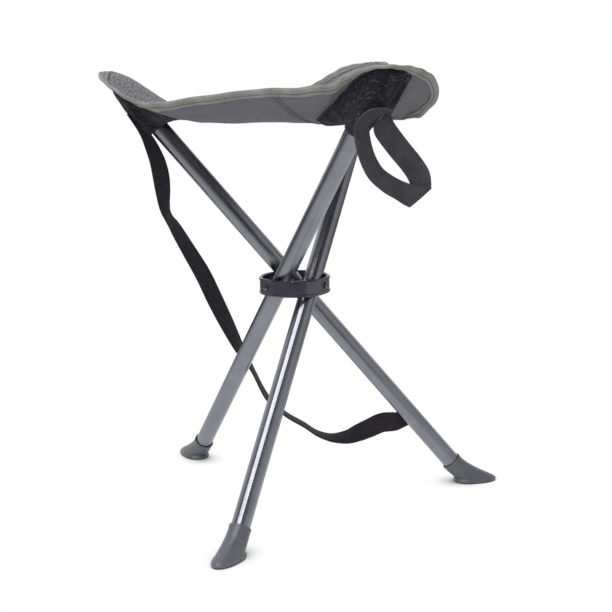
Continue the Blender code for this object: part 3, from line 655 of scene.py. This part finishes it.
def ridgeShare(angle):
    lean = atan2(stool["pinRadius"], stool["legUpper"] * sin(stool["spread"]))
    share = 0.0
    for letter in letters:
        away = offCorner(angle + lean, letter)
        share = max(share, 1 - (away / seat["ridgeHalfAngle"]) ** 2, 0.0)
    return share**2


def clothFold(x, y, part):
    # shallow pleats that fan out from each leg's top, and a soft unevenness
    pleats = seat["pleats"]
    depth = 0.0
    for letter in letters:
        away = Vector((x, y, 0)) - cornerDirection(letter) * pleats["heart"]
        fan = atan2(away.y, away.x) - stool["legPlaces"][letter]
        band = (away.length - pleats["reach"]) / pleats["spread"]
        depth += sin(pleats["count"] * fan) * exp(-(band**2))
    grain = noise.noise(Vector((x * seat["uneven"], y * seat["uneven"], 3.7)))
    return seat["foldDepth"] * (0.8 * depth + 1.1 * grain) * min(part / pleats["fade"], 1.0)


def seatPoint(angle, part):
    reach, height = edgeAt(angle)
    start, end = seat["ridge"]
    share = ridgeShare(angle)
    t = min(max((part - start) / (end - start), 0.0), 1.0)
    rise = (1 - share) * part ** seat["sagPower"] + share * t * t * (3 - 2 * t)
    x, y = part * reach * cos(angle), part * reach * sin(angle)
    level = seat["low"] + (height - seat["low"]) * rise + clothFold(x, y, part)
    return stool["hubAxis"] + Vector((x, y, level))


def seatNormal(angle, part):
    step = 0.006
    inner = max(part - step, 0.002)
    along = seatPoint(angle + step, part) - seatPoint(angle - step, part)
    outward = seatPoint(angle, min(part + step, 1.0)) - seatPoint(angle, inner)
    return outward.cross(along).normalized()


def edgeSlant(angle):
    # way along a direction from the hub axis that moves one unit square off the edge
    step = 0.01
    ends = [edgeAt(angle + turn)[0] * Matrix.Rotation(turn, 2) @ Vector((1, 0))
            for turn in (-step, step)]
    return 1 / abs((ends[1] - ends[0]).normalized().y)


def steepness(angle):
    # cloth length near the edge for one unit of plan distance
    rim = seatPoint(angle, 1.0) - seatPoint(angle, 0.95)
    return rim.length / hypot(rim.x, rim.y)


def partFromEdge(angle, distance):
    return 1 - distance * edgeSlant(angle) / steepness(angle) / edgeAt(angle)[0]


def seamEnd(letter, side):
    # direction in which a corner's seam meets the seat's edge
    low, high = radians(20), radians(60)
    middle = cornerAngle(letter)
    for _ in range(40):
        half = (low + high) / 2
        inside = edgeAt(middle + side * half)[0] * cos(half) > seat["seamChord"]
        low, high = (half, high) if inside else (low, half)
    return middle + side * low


def stationList():
    count = seat["stations"]
    angles = [float(np.interp(edgeRun[-1] * n / count, edgeRun, edgeAngles))
              for n in range(count)]
    first = angles[0]
    ends = [first + (seamEnd(letter, side) - first) % (2 * pi)
            for letter in letters for side in (-1, 1)]
    kept = [angle for angle in angles
            if min(abs(angle - end) for end in ends) > seat["stationGap"]]
    return sorted([*kept, *ends])


def cornerOf(angle):
    for letter in letters:
        away = offCorner(angle, letter)
        past = edgeAt(angle)[0] * cos(away) - seat["seamChord"]
        if abs(away) < pi / 3 and past > seat["seamSlack"]:
            return letter
    return None


def seamPart(angle):
    letter = cornerOf(angle)
    if letter is None:
        return 1.0
    return seat["seamChord"] / cos(offCorner(angle, letter)) / edgeAt(angle)[0]


stations = stationList()
meridianParts = np.linspace(0, 1, 41)
meridians = []
for angle in stations:
    meridians.append(runAlong(np.array([tuple(seatPoint(angle, part)) for part in meridianParts])))
seams = [seamPart(angle) for angle in stations]


def flatPlace(station, part):
    run = float(np.interp(part, meridianParts, meridians[station]))
    return run * cos(stations[station]), run * sin(stations[station])


def stationsBetween(first, last):
    count = (last - first) % len(stations)
    return [(first + step) % len(stations) for step in range(count + 1)]


def nearestStation(angle):
    return min(range(len(stations)), key=lambda n: abs(halfTurn(stations[n] - angle)))


def cornerStations(letter):
    return stationsBetween(*[nearestStation(seamEnd(letter, side)) for side in (-1, 1)])


def makeSeatMiddle():
    rows = seat["middleRows"]

    def place(column, row):
        station = column % len(stations)
        part = seams[station] * (row / (rows - 1)) ** 0.7
        return seatPoint(stations[station], part), flatPlace(station, part)

    piece = addPiece("seatMiddleCloth", sheetGrid(len(stations), rows, place, closed=True), "panel")
    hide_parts("seat_panel")
    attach(piece, "hub")
    return piece


def makeSeatCorner(letter):
    columns = cornerStations(letter)
    rows = seat["cornerRows"]

    def place(column, row):
        station = columns[column]
        part = seams[station] + (1 - seams[station]) * row / (rows - 1)
        if column in (0, len(columns) - 1):
            part = 1.0
        return seatPoint(stations[station], part), flatPlace(station, part)

    piece = addPiece(f"seatCornerCloth.{letter}", sheetGrid(len(columns), rows, place), "panel")
    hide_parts("seat_panel")
    return piece


seatMiddle = makeSeatMiddle()
seatCorners = {letter: makeSeatCorner(letter) for letter in letters}
print("seat cloth laid:", len(stations), "stations")

# Tape folded over the edge, with two rows of stitches on each leaf
binding = {
    "under": 0.0084, "over": 0.0092, "thickness": 0.0008, "gap": 0.0002,
    "leafRows": 4, "foldRows": 5, "foldReach": 1.5, "foldGap": 0.0002, "ripple": 0.00035,
    "underRows": (0.0030, 0.0066), "overRows": (0.0030, 0.0070),
    "stitchPitch": 0.0038, "stitchLength": 0.0029, "stitchRadius": 0.00042,
}


def bindingLift():
    return seat["thickness"] / 2 + binding["gap"] + binding["thickness"] / 2


def ripple(angle):
    return binding["ripple"] * noise.noise(Vector((cos(angle) * 21, sin(angle) * 21, 1.3)))


def wayAlong(angle, part, step):
    return (seatPoint(angle + step, part) - seatPoint(angle - step, part)).normalized()


def bindingPlace(station, row):
    angle = stations[station]
    leaf, fold = binding["leafRows"], binding["foldRows"]
    lift = bindingLift()
    run = onEdge(angle, edgeRun)
    last = 2 * leaf + fold - 1
    if row < leaf or row > last - leaf:
        step = row if row < leaf else last - row
        side = -1 if row < leaf else 1
        inset = binding["under" if side < 0 else "over"] * (1 - step / leaf)
        part = partFromEdge(angle, inset)
        place = seatPoint(angle, part) + seatNormal(angle, part) * side * (lift + ripple(angle))
        return place, (side * (lift + inset), run)
    edge = seatPoint(angle, 1.0)
    normal = seatNormal(angle, 1.0)
    out = wayAlong(angle, 1.0, 0.004).cross(normal).normalized()
    turn = pi * ((row - leaf) / (fold - 1) - 0.5)
    past = cos(turn) * lift * binding["foldReach"] + binding["foldGap"]
    return edge + (normal * sin(turn) * lift + out * past), (sin(turn) * lift, run)


def joinTo(bm, part):
    mesh = bpy.data.meshes.new("joinedPart")
    part.to_mesh(mesh)
    part.free()
    bm.from_mesh(mesh)
    bpy.data.meshes.remove(mesh)


def stitchRow(bm, marks, settings):
    # each mark: place, way along the row; made a few at a time, which is quicker
    batch = 25
    radius = settings["stitchRadius"]
    size = Matrix.Diagonal((settings["stitchLength"] / 2, radius, radius, 1))
    for start in range(0, len(marks), batch):
        few = bmesh.new()
        for place, way in marks[start:start + batch]:
            turn = way.to_track_quat("X", "Z").to_matrix().to_4x4()
            bmesh.ops.create_uvsphere(few, u_segments=6, v_segments=5, radius=1,
                                      matrix=Matrix.Translation(place) @ turn @ size)
        joinTo(bm, few)


def stitchMarks(line, pitch):
    # stitch places, evenly spaced along a line of points
    run = np.concatenate(([0.0], np.cumsum([(b - a).length for a, b in zip(line, line[1:])])))
    marks = []
    for n in range(int(run[-1] / pitch)):
        index = int(np.searchsorted(run, (n + 0.5) * pitch)) - 1
        share = ((n + 0.5) * pitch - run[index]) / (run[index + 1] - run[index])
        way = line[index + 1] - line[index]
        marks.append((line[index] + way * float(share), way.normalized()))
    return marks


def edgeMarks(first, last, inset, lift):
    # stitch places along the edge between two directions
    start, stop = onEdge(first, edgeRun), onEdge(last, edgeRun)
    if stop < start:
        stop += edgeRun[-1]
    count = int((stop - start) / binding["stitchPitch"])
    marks = []
    for n in range(count):
        run = (start + (n + 0.5) * (stop - start) / count) % edgeRun[-1]
        angle = float(np.interp(run, edgeRun, edgeAngles))
        part = partFromEdge(angle, inset)
        away = seatNormal(angle, part) * (lift + (ripple(angle) if lift > 0 else -ripple(angle)))
        marks.append((seatPoint(angle, part) + away, wayAlong(angle, part, 0.003)))
    return marks


def edgeStitches(bm, first, last):
    lift = bindingLift() + binding["thickness"] / 2
    for side, rows in ((-1, binding["underRows"]), (1, binding["overRows"])):
        for inset in rows:
            stitchRow(bm, edgeMarks(first, last, inset, side * lift), binding)


def tapeGrid(columns):
    rows = 2 * binding["leafRows"] + binding["foldRows"]
    return sheetGrid(len(columns), rows, lambda column, row: bindingPlace(columns[column], row))


def makeBinding():
    made = {}
    middleTape = bmesh.new()
    middleThread = bmesh.new()
    for letter in letters:
        columns = cornerStations(letter)
        tape = addPiece(f"cornerBinding.{letter}", tapeGrid(columns), "binding")
        thicken(tape, binding["thickness"])
        thread = bmesh.new()
        edgeStitches(thread, stations[columns[0]], stations[columns[-1]])
        stitches = addPiece(f"cornerBindingStitches.{letter}", thread, "paleThread")
        made[letter] = [tape, stitches]

        following = cornerStations(letters[(letters.index(letter) + 1) % 3])[0]
        between = stationsBetween(columns[-1], following)
        joinTo(middleTape, tapeGrid(between))
        edgeStitches(middleThread, stations[between[0]], stations[between[-1]])
    tape = addPiece("middleBinding", middleTape, "binding")
    thicken(tape, binding["thickness"])
    stitches = addPiece("middleBindingStitches", middleThread, "paleThread")
    made["middle"] = [tape, stitches]
    return made


bindings = makeBinding()
print("edge binding sewn")

# Second layer on top of each corner, hemmed along its seam; its dark stitch rows also paint shade,
# in the seam's grooves and along the binding's inner edge
patch = {
    "thickness": 0.0009, "gap": 0.0001, "margin": 0.0090, "halfAngle": radians(38), "rows": 26,
    # stitches longer than their pitch join into continuous dark lines of painted shade: along the
    # seam, and inset along the patch's edge
    "stitchPitch": 0.0034, "stitchLength": 0.0054, "stitchRadius": 0.0008, "shadeLineIn": 0.0012,
    "seamRows": (0.0022, 0.0072), "seamSpans": 60,
    "seamAbove": 0.059,  # half length of the rows on top
    "seamBelow": "bc",  # corners whose rows show below too
    "seamEndGap": 0.010,
}


def makePatch(letter):
    columns = [n for n in cornerStations(letter)[2:-2]
               if abs(offCorner(stations[n], letter)) < patch["halfAngle"]]
    rows = patch["rows"]
    lift = seat["thickness"] / 2 + patch["gap"] + patch["thickness"] / 2

    def place(column, row):
        station = columns[column]
        angle = stations[station]
        outer = partFromEdge(angle, patch["margin"])
        part = seams[station] + (outer - seams[station]) * row / (rows - 1)
        spot = seatPoint(angle, part) + seatNormal(angle, part) * lift
        x, y = flatPlace(station, part)
        return spot, (x * 0.8 - y * 0.6, x * 0.6 + y * 0.8)  # its weave is turned off the seat's

    piece = addPiece(f"cornerPatchCloth.{letter}", sheetGrid(len(columns), rows, place), "patch")
    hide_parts(f"corner_patch_{letter}")

    thread = bmesh.new()
    sides = {lift + patch["thickness"] / 2: (-patch["seamAbove"], patch["seamAbove"])}
    if letter in patch["seamBelow"]:
        sides[-seat["thickness"] / 2] = [
            seat["seamChord"] * tan(offCorner(seamEnd(letter, side), letter))
            - side * patch["seamEndGap"] for side in (-1, 1)]
    turn = Matrix.Rotation(cornerAngle(letter), 3, "Z")
    # seam rows: real stitches, made dark and long enough to join into lines that also paint the
    # shade in the seam's grooves
    for inset in patch["seamRows"]:
        for height, (start, stop) in sides.items():
            line = []
            for n in range(patch["seamSpans"] + 1):
                across = start + (stop - start) * n / patch["seamSpans"]
                spot = turn @ Vector((seat["seamChord"] + inset, across, 0))
                angle = atan2(spot.y, spot.x)
                part = spot.length / edgeAt(angle)[0]
                line.append(seatPoint(angle, part) + seatNormal(angle, part) * height)
            stitchRow(thread, stitchMarks(line, patch["stitchPitch"]), patch)
    # painted shade: a dense row of dark stitches along the patch's outer edge stands for the shade
    # under the binding's inner edge
    ends = [stations[columns[0]], stations[columns[-1]]]
    hem = edgeMarks(*ends, patch["margin"] + patch["shadeLineIn"], lift + patch["thickness"] / 2)
    stitchRow(thread, hem, patch)
    stitches = addPiece(f"cornerSeamShadeStitches.{letter}", thread, "darkThreadAndShade")
    return piece, stitches


patches = {letter: makePatch(letter) for letter in letters}
print("corner patches sewn")

# Pocket under each corner, from round the tube to the underside of the cloth
# Its outline is in the leg's frame: sewn edge, then wall, with a hem between them
pocket = {
    "thickness": 0.0012, "depth": 0.050, "edgeGap": 0.0012, "rimGap": 0.0003, "mouthGap": 0.0004,
    "bulge": 0.014, "plugDome": 0.005, "columns": 132, "rows": 24, "hemRows": 4,
    "flatGirth": 0.19, "flatDepth": 0.055, "flatHem": 0.002, "heart": (0.008, -0.010),
    "gather": 0.0009, "creases": 70, "creaseLean": 3, "creaseGrain": 55,
    "sewn": ((-0.0108, -0.029), (-0.008, -0.008), (0.002, 0.014), (0.018, 0.0175), (0.036, 0.017),
             (0.052, 0.0115), (0.036, -0.034), (0.0165, -0.0545)),
    "wall": ((-0.0075, -0.0215), (-0.0065, -0.007), (0.004, 0.011), (0.018, 0.0135), (0.035, 0.013),
             (0.048, 0.0085), (0.033, -0.030), (0.017, -0.0440)),
    "inward": {"a": 0.5, "b": 1.0, "c": 1.0},  # how far each reaches under the seat, past this
    "inwardFrom": 0.02,
    "stitchPitch": 0.0036, "stitchLength": 0.0028, "stitchRadius": 0.0004,
    "stitchRows": (0.25, 0.8),
}


def clothTree():
    bm = bmesh.new()
    for piece in (seatMiddle, *seatCorners.values()):
        bm.from_mesh(piece.data)
    tree = BVHTree.FromBMesh(bm)
    bm.free()
    return tree


def underCloth(tree, place, leg):
    # where a line up the leg meets the cloth, moved in until it clears the tape at the edge
    up = leg.to_3x3() @ Vector((0, 0, 1))
    fromEdge = 0.0
    while fromEdge < binding["under"] + pocket["edgeGap"]:
        hit, normal, _, _ = tree.ray_cast(leg @ place, up)
        if hit:
            spot = hit - stool["hubAxis"]
            angle = atan2(spot.y, spot.x)
            inset = edgeAt(angle)[0] - hypot(spot.x, spot.y)
            fromEdge = inset * steepness(angle) / edgeSlant(angle)
        place = place + Vector((0.0005, 0, 0))
    if normal.dot(up) < 0:
        normal.negate()
    drop = (seat["thickness"] + pocket["thickness"]) / 2 + pocket["rimGap"]
    return leg.inverted() @ (hit - normal * drop)


def alongOutline(corners, inward, count):
    start = pocket["inwardFrom"]
    points = [Vector((min(x, start) + max(x - start, 0) * inward, y, 0))
              for x, y in (*corners, corners[0])]
    share = np.linspace(0, len(corners), count, endpoint=False)
    return [points[int(n)].lerp(points[int(n) + 1], float(n - int(n))) for n in share]


def makePocket(letter, tree):
    leg = legFrame(letter)
    mouth = stool["tubeRadius"] + pocket["thickness"] / 2 + pocket["mouthGap"]
    low = stool["legUpper"] - pocket["depth"]
    columns, rows, hemRows = pocket["columns"], pocket["rows"], pocket["hemRows"]
    heart = Vector((*pocket["heart"], 0))
    inward = pocket["inward"][letter]
    lines = []
    outlines = [alongOutline(pocket[edge], inward, columns) for edge in ("sewn", "wall")]
    for sewn, wall in zip(*outlines):
        steps = [wall.lerp(sewn, step / hemRows) + Vector((0, 0, stool["legUpper"] / 2))
                 for step in range(hemRows + 1)]
        lines.append(((wall - heart).normalized(), [underCloth(tree, step, leg) for step in steps]))

    def place(column, row):
        around, hem = lines[column % columns]
        flat = column / columns * pocket["flatGirth"]
        if row >= rows:
            step = row - rows + 1
            return leg @ hem[step], (flat, pocket["flatDepth"] + step * pocket["flatHem"])
        foot = around * mouth + Vector((0, 0, low))
        swell = around * (stool["tubeRadius"] + pocket["bulge"])
        swell += Vector((0, 0, stool["legUpper"] + 2 * pocket["plugDome"]))
        guide = foot.lerp(hem[0], 0.5).lerp(swell, max(-around.x, 0.0))
        share = row / (rows - 1)
        spot = foot.lerp(guide, share).lerp(guide.lerp(hem[0], share), share)
        crease = sin(pocket["creases"] * flat + pocket["creaseLean"] * share) * 0.5
        crease += noise.noise(spot * pocket["creaseGrain"])
        spot += around * pocket["gather"] * crease * share * (1 - share) * 4
        return leg @ spot, (flat, share * pocket["flatDepth"])

    bm = sheetGrid(columns, rows + hemRows, place, closed=True)
    piece = addPiece(f"cornerPocketFelt.{letter}", bm, "pocket")
    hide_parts(f"corner_pocket_{letter}")

    thread = bmesh.new()
    for share in pocket["stitchRows"]:
        line = []
        for around, hem in lines:
            step = min(int(share * hemRows), hemRows - 1)
            line.append(leg @ hem[step].lerp(hem[step + 1], share * hemRows - step))
        down = leg.to_3x3() @ Vector((0, 0, -pocket["thickness"] / 2))
        line = [spot + down for spot in smoothRoute([*line, line[0]], 6)]
        stitchRow(thread, stitchMarks(line, pocket["stitchPitch"]), pocket)
    stitches = addPiece(f"pocketHemStitches.{letter}", thread, "hemThread")
    return piece, stitches


tree = clothTree()
pockets = {letter: makePocket(letter, tree) for letter in letters}
print("corner pockets hung")


def declareCloth():
    for piece in bindings["middle"]:
        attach(piece, "hub")
    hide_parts("edge_binding")
    for letter in letters:
        tape, stitches = bindings[letter]
        cloth, seamShadeStitches = patches[letter]
        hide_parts("edge_binding")
        felt, hemStitches = pockets[letter]
        for piece in (seatCorners[letter], tape, stitches, cloth, seamShadeStitches, felt, hemStitches):
            followLeg(piece)
        thicken(seatCorners[letter], seat["thickness"])
        thicken(cloth, patch["thickness"])
        thicken(felt, pocket["thickness"])
    thicken(seatMiddle, seat["thickness"])


declareCloth()

# Rubber boot on each foot: lip, groove, flared body and a raised rim at the sole
boot = {
    "sides": 56, "toe": 0.036, "heel": 0.019, "halfWidth": 0.0165, "collarReach": 0.036,
    "bore": 0.0113, "collar": 0.0129, "rimHeight": 0.0034, "tubeLow": 0.0152,
    "neck": 0.84, "waist": 0.45, "flareSteps": 9,
    # past the collar's radius and top
    "lip": ((-0.0004, 0.0), (0.0001, -0.0007), (0.0001, -0.0026), (-0.0003, -0.0031)),
    # inset, and share of the rim's height
    "rim": ((0.0017, 1.18), (0.0004, 1.04), (0.0, 0.86), (0.0, 0.40), (0.0007, 0.10)),
    # inset and height
    "sole": ((0.0024, 0.0), (0.0046, 0.0), (0.0052, 0.0008), (0.0080, 0.0008), (0.0086, 0.0),
             (0.0106, 0.0), (0.0112, 0.0008)),
}


def bootAngles():
    return [2 * pi * side / boot["sides"] for side in range(boot["sides"])]


def bootOutline(inset, height):
    ring = []
    for angle in bootAngles():
        reach = (boot["toe"] if cos(angle) > 0 else boot["heel"]) - inset
        ring.append(Vector((reach * cos(angle), (boot["halfWidth"] - inset) * sin(angle), height)))
    return ring


def bootRound(radius, reach):
    spread = stool["spread"]
    up = Vector((-sin(spread), 0, cos(spread)))
    across = Vector((cos(spread), 0, sin(spread)))
    return [up * reach + radius * (across * cos(angle) + Vector((0, sin(angle), 0)))
            for angle in bootAngles()]


def makeBoot(letter):
    top, collar, bore = boot["collarReach"], boot["collar"], boot["bore"]
    rim, steps = boot["rimHeight"], boot["flareSteps"]
    neck = bootRound(collar - 0.0003, top * boot["neck"])
    ankle = bootOutline(0.0022, rim * 1.6)
    waist = bootRound(collar, top * boot["waist"])
    for spot, low in zip(waist, ankle):
        spot.z = max(spot.z, low.z * 1.3)

    def flared(share):
        # bends from the neck's straight line out to the sole
        return [first.lerp(middle, share).lerp(middle.lerp(last, share), share)
                for first, middle, last in zip(neck, waist, ankle)]

    rings = [
        bootRound(bore, boot["tubeLow"]),
        bootRound(bore, top - 0.0008),
        bootRound(bore + 0.0004, top),
        *[bootRound(collar + out, top + up) for out, up in boot["lip"]],
        neck, *[flared(step / steps) for step in range(1, steps)], ankle,
        *[bootOutline(inset, rim * share) for inset, share in boot["rim"]],
        *[bootOutline(inset, height) for inset, height in boot["sole"]],
    ]
    bm = bmesh.new()
    loops = []
    for ring in rings:
        made = bmesh.ops.create_circle(bm, cap_ends=False, radius=1, segments=boot["sides"])
        for point, spot in zip(made["verts"], ring):
            point.co = spot
        loops.append(list({edge for point in made["verts"] for edge in point.link_edges}))
    for first, second in zip(loops, loops[1:]):
        bmesh.ops.bridge_loops(bm, edges=first + second)
    for loop in (loops[0], loops[-1]):
        bmesh.ops.contextual_create(bm, geom=loop)
    bmesh.ops.recalc_face_normals(bm, faces=bm.faces)
    low = Matrix.Translation((0, 0, -stool["hubHeight"] / cos(stool["spread"])))
    place = legFrame(letter) @ low @ Matrix.Rotation(stool["spread"], 4, "Y")
    bmesh.ops.transform(bm, matrix=place, verts=bm.verts)
    piece = addPiece(f"footBoot.{letter}", bm, "rubber")
    fine = piece.modifiers.new("roundOff", "SUBSURF")
    fine.levels = fine.render_levels = 1
    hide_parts(f"foot_boot_{letter}")
    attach(piece, f"leg_{letter}")


for letter in letters:
    makeBoot(letter)
print("boots fitted")

# Finishes of the model's own hard pieces
hardFinishes = {
    "hub_ring": "plastic", "leg_tube": "paint", "spacer_bush": "nylon", "top_plug": "nylon",
    "pivot_rivet": "steel", "rivet_washer": "steel", "strap_rivet": "steel",
    "strap_washer": "steel",
}
for name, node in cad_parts.items():
    for start, finish in hardFinishes.items():
        if name.startswith(start):
            node.data.materials.clear()
            node.data.materials.append(finishes[finish])
            for face in node.data.polygons:
                face.use_smooth = True
            node.data.set_sharp_from_angle(angle=radians(35))
print("hard pieces finished")
